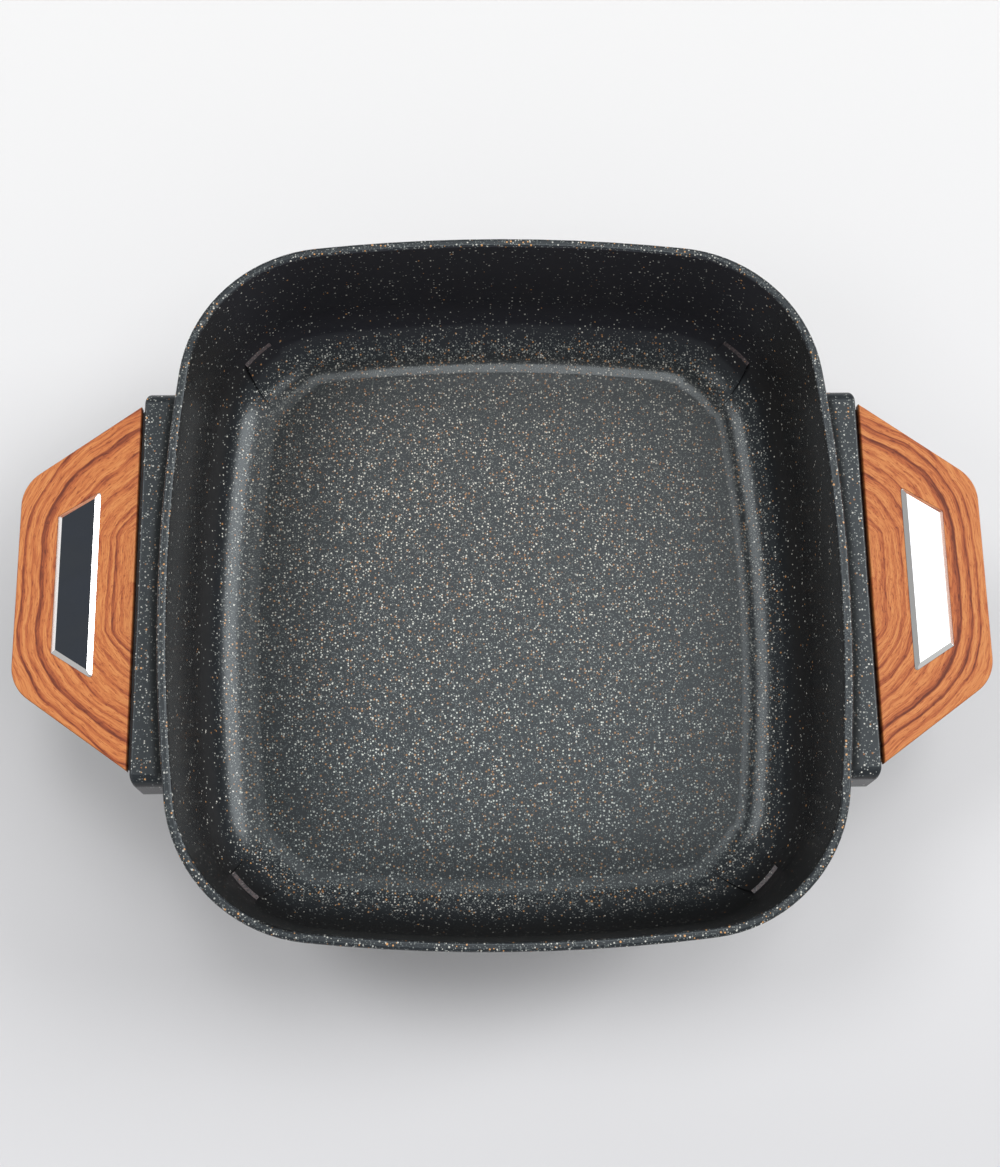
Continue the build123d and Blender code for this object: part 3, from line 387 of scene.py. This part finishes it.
def grain_rings(shade, side):
    """A panel's rings, from 0 on the core line to 1 at the outer edges, and the way round."""
    where = shade.place()
    wander = shade.noise(22.0, where=where, output="Color")
    offset = shade.vector("SUBTRACT", wander, (0.5, 0.5, 0.5))
    offset = shade.vector("MULTIPLY", offset, (0.007, 0.016, 0.0))
    across, along, _ = shade.split(shade.vector("ADD", where, offset))
    out = shade.math("MULTIPLY_ADD", across, side, -PANEL_INNER)
    out = shade.math("MAXIMUM", out, 0.0)
    end = shade.math("SUBTRACT", shade.math("ABSOLUTE", along), GRAIN_CORE_HALF)
    end = shade.math("MAXIMUM", end, 0.0)
    # How near the point is to the outer edge, and to the slanted one at its end.
    depth, taper = PANEL_OUTER - PANEL_INNER, PANEL_INNER_HALF - PANEL_OUTER_HALF
    slope = math.hypot(depth, taper)
    lean_x, lean_y = taper / slope, depth / slope
    straight = shade.math("DIVIDE", out, depth)
    slanted = shade.math("MULTIPLY_ADD", end, lean_y, shade.times(out, lean_x))
    slanted = shade.math("DIVIDE", slanted, lean_y * (PANEL_INNER_HALF - GRAIN_CORE_HALF))

    def joined(power):
        parts = [shade.math("POWER", part, power) for part in (straight, slanted)]
        return shade.math("POWER", shade.math("ADD", *parts), 1 / power)

    # Round rings inside, and rings that keep the outline's corners outside.
    cornered = joined(5.0)
    inputs = {0: shade.remap(cornered, 0.25, 0.85), 2: joined(2.0), 3: cornered}
    ring = shade.add("Mix", inputs, data_type="FLOAT").outputs[0]
    return ring, shade.math("ARCTAN2", along, shade.math("ADD", out, 0.03))


def ring_lines(shade, ring, lines):
    """How dark the growth rings are: each line darkens slowly outward and ends sharply."""
    stops = []
    for at, fade, dark in lines:
        stops += [(at - fade, grey(0.0)), (at, grey(dark)), (at + RING_EDGE, grey(0.0))]
    return shade.ramp(ring, stops)


def wood(side, lines):
    """Satin wood: warm rings that follow the panel's outline, with fine dark pores along them."""
    shade = Shade("wood_grain_right" if side > 0 else "wood_grain_left")
    ring, way = grain_rings(shade, side)
    ripple = shade.noise(75.0, 3.0, 0.6)
    ring = shade.math("MULTIPLY_ADD", ripple, 0.024, shade.math("SUBTRACT", ring, 0.012))
    along = shade.add("CombineXYZ", {0: ring, 1: way, 2: 0.0}).outputs[0]

    def grain(detail, rough, across, lengthwise):
        where = shade.vector("MULTIPLY", along, (across, lengthwise, 1.0))
        return shade.noise(1.0, detail, rough, where)

    def streaks(across, lengthwise, low, high, dark, least=0.0):
        return shade.remap(grain(3.0, 0.6, across, lengthwise), low, high, least, least + dark)

    broad = shade.math("POWER", ring_lines(shade, ring, lines), 1.5)
    dark = shade.times(broad, streaks(22.0, 3.0, 0.25, 0.60, 0.25, 0.60))
    wobble = shade.times(grain(2.0, 0.5, 3.0, 2.0), 2.5)
    count = shade.math("MULTIPLY_ADD", ring, 15.0, wobble)
    fine_rings = shade.math("POWER", shade.math("FRACT", count), 3.0)
    fine_streaks = streaks(16.0, 2.5, 0.35, 0.65, 0.30)
    dark = shade.math("MULTIPLY_ADD", fine_rings, fine_streaks, dark)
    for layer in [(30.0, 3.0, 0.38, 0.70, 0.18), (75.0, 9.0, 0.40, 0.68, 0.27)]:
        dark = shade.math("ADD", dark, streaks(*layer))
    pores = streaks(105.0, 19.0, 0.56, 0.66, 0.38)
    dark = shade.math("ADD", dark, pores, clamp=True)
    cut_edge = shade.remap(shade.facing()[2], 0.55, 0.96, 0.45, 0.0)
    return shade.finish(
        Base_Color=shade.mix(cut_edge, shade.ramp(dark, WOOD_TONES), WOOD_EDGE),
        Roughness=shade.remap(dark, 0.0, 1.0, 0.36, 0.50),
        Specular_IOR_Level=0.30,
        Normal=shade.bump(shade.times(pores, -1.0), 0.00006, 0.5),
    )


def polished_plate():
    """Mirror-bright metal with faint smudges on the flat top, satin on the cut bevels."""
    shade = Shade("polished_plate")
    flat = shade.remap(shade.facing()[2], 0.95, 0.99)
    smudge = shade.remap(shade.noise(60.0, 3.0, 0.55), 0.34, 0.68, 1.0, 0.0)
    smudge = shade.times(smudge, flat)
    satin = shade.remap(smudge, 0.0, 1.0, 0.12, 0.15)
    return shade.finish(
        Base_Color=shade.mix(smudge, srgb(252, 251, 249), srgb(236, 238, 242)),
        Metallic=1.0,
        Roughness=shade.math("MULTIPLY_ADD", flat, -0.09, satin),
    )


def moulded(name, colour, roughness, grain, depth):
    """Moulded plastic or rubber: an even colour with slight clouds and a fine surface grain."""
    shade = Shade(name)
    cloud = shade.noise(60.0, 3.0, 0.55)
    fine = shade.noise(grain, 3.0, 0.6)
    return shade.finish(
        Base_Color=shade.mix(cloud, colour, scaled(colour, 1.7)),
        Roughness=shade.remap(cloud, 0.3, 0.7, roughness - 0.06, roughness + 0.06),
        Normal=shade.bump(fine, depth, 0.7),
    )


def metal(name, colour, roughness, stretch):
    """Bare metal with fine lines: stretch says how fine they are along x, y and z."""
    shade = Shade(name)
    lines = shade.noise(1.0, 3.0, 0.65, shade.vector("MULTIPLY", shade.place(), stretch))
    cloud = shade.noise(90.0, 3.0, 0.6)
    return shade.finish(
        Base_Color=shade.mix(cloud, colour, scaled(colour, 0.82)),
        Metallic=1.0,
        Roughness=shade.remap(lines, 0.25, 0.75, roughness * 0.75, roughness * 1.3),
        Normal=shade.bump(lines, 0.00002, 0.6),
    )


def ceramic():
    """Glazed white ceramic of the terminal rings."""
    shade = Shade("white_ceramic")
    cloud = shade.noise(400.0, 3.0, 0.6)
    return shade.finish(
        Base_Color=shade.mix(cloud, srgb(228, 226, 218), srgb(240, 238, 232)),
        Roughness=shade.remap(cloud, 0.3, 0.7, 0.28, 0.4),
        Normal=shade.bump(cloud, 0.00002, 0.5),
    )


def dress():
    """Gives each CAD node its finish."""
    finishes = {
        "coating": stone_coating(),
        "right_wood": wood(1, RIGHT_RINGS),
        "left_wood": wood(-1, LEFT_RINGS),
        "plate": polished_plate(),
        "sheath": metal("element_sheath", srgb(120, 116, 108), 0.42, (900.0, 300.0, 900.0)),
        "contact": metal("contact_metal", srgb(196, 192, 180), 0.24, (2500.0, 300.0, 2500.0)),
        "screw": metal("screw_steel", srgb(172, 172, 174), 0.30, (1800.0, 1800.0, 300.0)),
        "core": moulded("black_core", srgb(24, 24, 26), 0.38, 1500.0, 0.00003),
        "moulding": moulded("black_moulding", srgb(28, 28, 30), 0.46, 1300.0, 0.00006),
        "rubber": moulded("black_rubber", srgb(22, 22, 23), 0.72, 1700.0, 0.00005),
        "ceramic": ceramic(),
    }
    for name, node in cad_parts.items():
        finish = finishes[next(key for word, key in FINISH_BY_WORD if word in name)]
        node.data.materials.clear()
        node.data.materials.append(finish)


def floor():
    """Pale sheet under the object: a big disc with painted shade that darkens it towards the
    front, close by.
    """
    mesh = bpy.data.meshes.new("floor")
    turns = [math.tau * corner / BACKDROP_CORNERS for corner in range(BACKDROP_CORNERS)]
    rim = [
        (BACKDROP_RADIUS * math.cos(turn), BACKDROP_RADIUS * math.sin(turn), 0.0)
        for turn in turns
    ]
    mesh.from_pydata(rim, [], [list(range(BACKDROP_CORNERS))])
    sheet = bpy.data.objects.new("floor", mesh)
    bpy.context.scene.collection.objects.link(sheet)
    shade = Shade("pale_floor")
    where = shade.place()
    # Painted shade: the near tone darkens towards the front.
    near = shade.ramp(
        shade.remap(shade.split(where)[1], *BACKDROP_SHADE_SPAN, 0.0, 1.0, "LINEAR"),
        [(0.0, srgb(214, 214, 217)), (0.5, srgb(239, 239, 241)), (1.0, srgb(247, 247, 247))],
    )
    away = shade.remap(shade.vector("LENGTH", where, output="Value"), *BACKDROP_FAR)
    shade.finish(Base_Color=shade.mix(away, near, srgb(246, 246, 246)), Roughness=0.7)
    # It can be looked through from below.
    clear = shade.add("BsdfTransparent").outputs[0]
    below = shade.add("NewGeometry").outputs["Backfacing"]
    blend = shade.add("MixShader", {0: below, 1: shade.surface.outputs[0], 2: clear})
    shade.put(shade.nodes["Material Output"].inputs["Surface"], blend.outputs[0])
    mesh.materials.append(shade.owner)


def surroundings():
    """Soft light from all round: pale at the horizon, dimmer overhead, with one dark panel."""
    world = bpy.data.worlds.new("studio")
    bpy.context.scene.world = world
    shade = Shade("studio", world)
    way = shade.vector("NORMALIZE", shade.add("TexCoord").outputs["Generated"])
    sky = shade.ramp(shade.split(way)[2], [(height, grey(level)) for height, level in SKY])
    centre = tuple(Vector(DARK_PANEL).normalized())
    beside = shade.vector("DOT_PRODUCT", way, centre, output="Value")
    inside, outside = (math.cos(math.radians(angle)) for angle in DARK_PANEL_EDGE)
    open_sky = shade.remap(beside, outside, inside, 1.0, 0.0)
    colour = shade.mix(open_sky, DARK_PANEL_COLOUR, sky)
    shade.put(shade.nodes["Background"].inputs["Color"], colour)


def lamps():
    """Soft far lamps. A lamp's level is the light it gives to a face square to it."""
    for name, direction, level, width in LAMPS:
        light = bpy.data.lights.new(name, "SUN")
        light.energy, light.angle = level * math.pi, math.radians(width)
        item = bpy.data.objects.new(name, light)
        bpy.context.scene.collection.objects.link(item)
        item.location = direction
        item.rotation_euler = Vector(direction).to_track_quat("Z", "Y").to_euler()


def camera():
    """The camera, almost straight above the pan and a little in front of it."""
    data = bpy.data.cameras.new("camera")
    data.lens, data.sensor_width, data.sensor_fit = CAMERA_LENS, CAMERA_SENSOR, "AUTO"
    data.clip_start, data.clip_end = CAMERA_RANGE
    view = bpy.data.objects.new("camera", data)
    bpy.context.scene.collection.objects.link(view)
    cp, sp = math.cos(CAMERA_PITCH), math.sin(CAMERA_PITCH)
    cy, sy = math.cos(CAMERA_YAW), math.sin(CAMERA_YAW)
    cr, sr = math.cos(CAMERA_ROLL), math.sin(CAMERA_ROLL)
    pitch = Matrix(((1, 0, 0), (0, cp, -sp), (0, sp, cp)))
    yaw = Matrix(((cy, 0, sy), (0, 1, 0), (-sy, 0, cy)))
    roll = Matrix(((cr, -sr, 0), (sr, cr, 0), (0, 0, 1)))
    turn = (roll @ yaw @ pitch).transposed()
    view.matrix_world = Matrix.Translation(CAMERA_PLACE) @ turn.to_4x4()
    bpy.context.scene.camera = view


dress()
floor()
surroundings()
lamps()
camera()

bpy.context.scene.view_settings.view_transform = "Standard"
